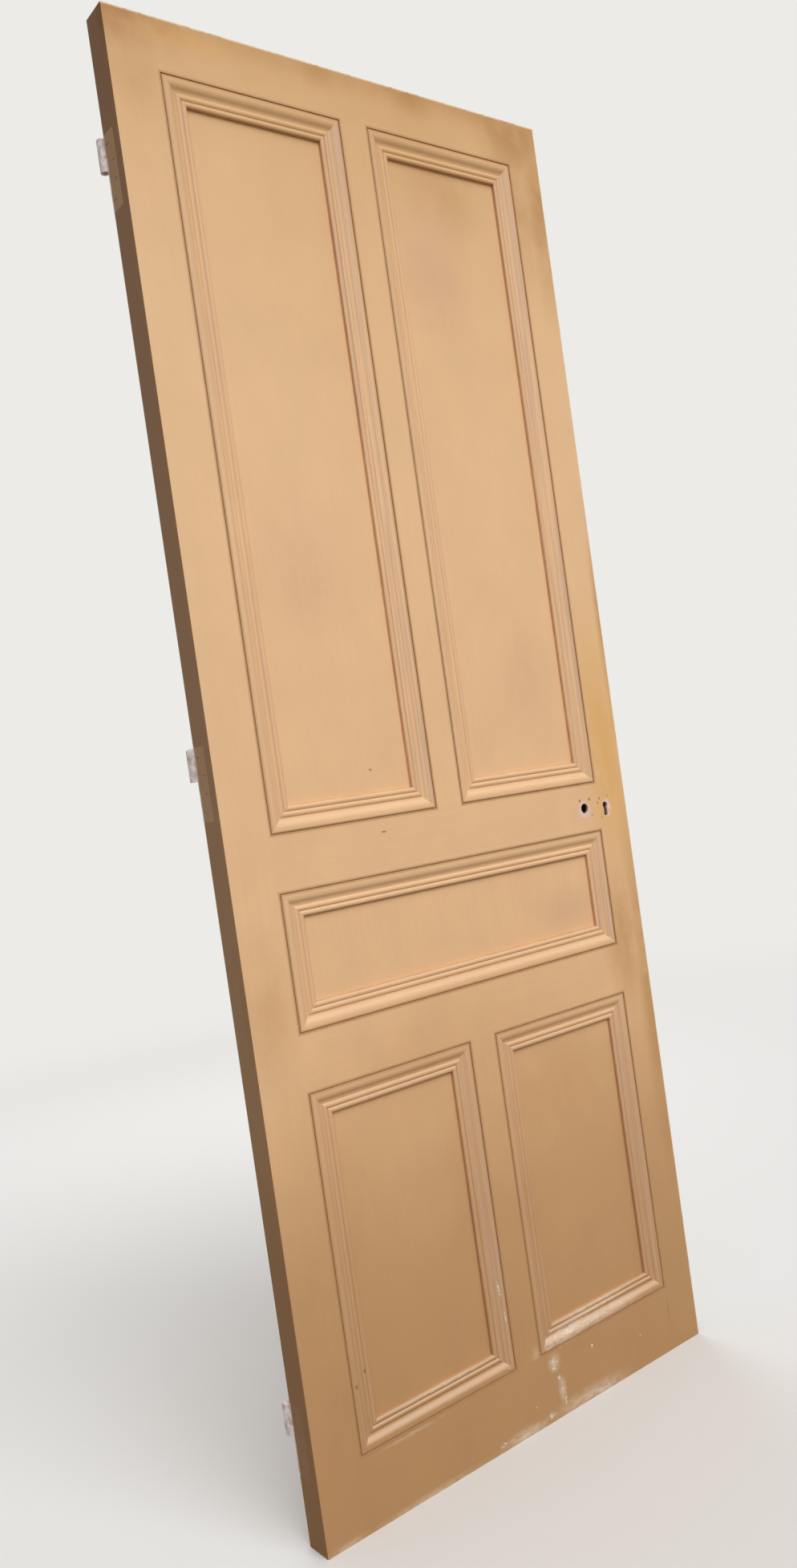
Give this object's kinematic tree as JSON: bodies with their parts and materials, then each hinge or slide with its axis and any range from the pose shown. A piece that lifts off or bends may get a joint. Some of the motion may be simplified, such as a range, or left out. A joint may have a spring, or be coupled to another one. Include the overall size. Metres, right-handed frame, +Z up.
{
  "type": "panelled front door",
  "caption": "Unhung panelled front door leaf with planted mouldings, lift-off hinge halves and a mortice lock worked by spindle and key.",
  "frame": {"origin": "middle of the leaf's foot: half its width, half its thickness, at its bottom edge", "axes": "+X from the hinge edge to the lock edge, +Y from the front to the rear face, +Z up"},
  "size_m": [0.7802, 0.0562, 2.032],
  "materials": {
    "painted_wood": "old tan gloss paint, chalky and stained",
    "painted_iron": "white paint, greyed and chipped",
    "screw_steel": "dull, with old paint in the slots",
    "lock_steel": "dull and lightly rusted",
    "lock_brass": "tarnished"
  },
  "bodies": {
    "leaf": {"bottom_rail": "painted_wood", "cap_screw": "screw_steel", "forend_screws": "screw_steel", "front_moulding_lower_hinge_bottom": "painted_wood", "front_moulding_lower_hinge_hinge_side": "painted_wood", "front_moulding_lower_hinge_lock_side": "painted_wood", "front_moulding_lower_hinge_top": "painted_wood", "front_moulding_lower_lock_bottom": "painted_wood", "front_moulding_lower_lock_hinge_side": "painted_wood", "front_moulding_lower_lock_lock_side": "painted_wood", "front_moulding_lower_lock_top": "painted_wood", "front_moulding_middle_bottom": "painted_wood", "front_moulding_middle_hinge_side": "painted_wood", "front_moulding_middle_lock_side": "painted_wood", "front_moulding_middle_top": "painted_wood", "front_moulding_upper_hinge_bottom": "painted_wood", "front_moulding_upper_hinge_hinge_side": "painted_wood", "front_moulding_upper_hinge_lock_side": "painted_wood", "front_moulding_upper_hinge_top": "painted_wood", "front_moulding_upper_lock_bottom": "painted_wood", "front_moulding_upper_lock_hinge_side": "painted_wood", "front_moulding_upper_lock_lock_side": "painted_wood", "front_moulding_upper_lock_top": "painted_wood", "hinge_screws": "screw_steel", "hinge_stile": "painted_wood", "lock_cap": "lock_steel", "lock_case": "lock_steel", "lock_forend": "lock_brass", "lock_rail": "painted_wood", "lock_stile": "painted_wood", "lower_hinge_half": "painted_iron", "lower_hinge_panel": "painted_wood", "lower_lock_panel": "painted_wood", "lower_muntin": "painted_wood", "middle_hinge_half": "painted_iron", "middle_panel": "painted_wood", "middle_rail": "painted_wood", "rear_moulding_lower_hinge": "painted_wood", "rear_moulding_lower_lock": "painted_wood", "rear_moulding_middle": "painted_wood", "rear_moulding_upper_hinge": "painted_wood", "rear_moulding_upper_lock": "painted_wood", "tenon_wedges": "painted_wood", "top_hinge_half": "painted_iron", "top_rail": "painted_wood", "upper_hinge_panel": "painted_wood", "upper_lock_panel": "painted_wood", "upper_muntin": "painted_wood", "latch_spring": "lock_steel"},
    "latch": {"latch_bolt": "lock_brass"},
    "hub": {"follower": "lock_brass"},
    "dead": {"dead_bolt": "lock_brass", "dead_bolt_spring": "lock_steel"}
  },
  "joints": [
    {"name": "follower_turn", "type": "hinge", "parent": "leaf", "child": "hub", "pos_m": [0.283, 0, 0.9105], "axis": [0, -1, 0], "range_deg": [0, 43]},
    {"name": "latch_slide", "type": "slide", "parent": "leaf", "child": "latch", "axis": [1, 0, 0], "range_m": [-0.0113, 0], "stiffness_N_per_m": 300, "springref_m": 0.008, "deforming": ["latch_spring"]},
    {"name": "dead_bolt_throw", "type": "slide", "parent": "leaf", "child": "dead", "axis": [1, 0, 0], "range_m": [0, 0.012]}
  ],
  "couplings": [
    {"joint": "follower_turn", "follows": "latch_slide", "rad_per_m": -66.225}
  ]
}
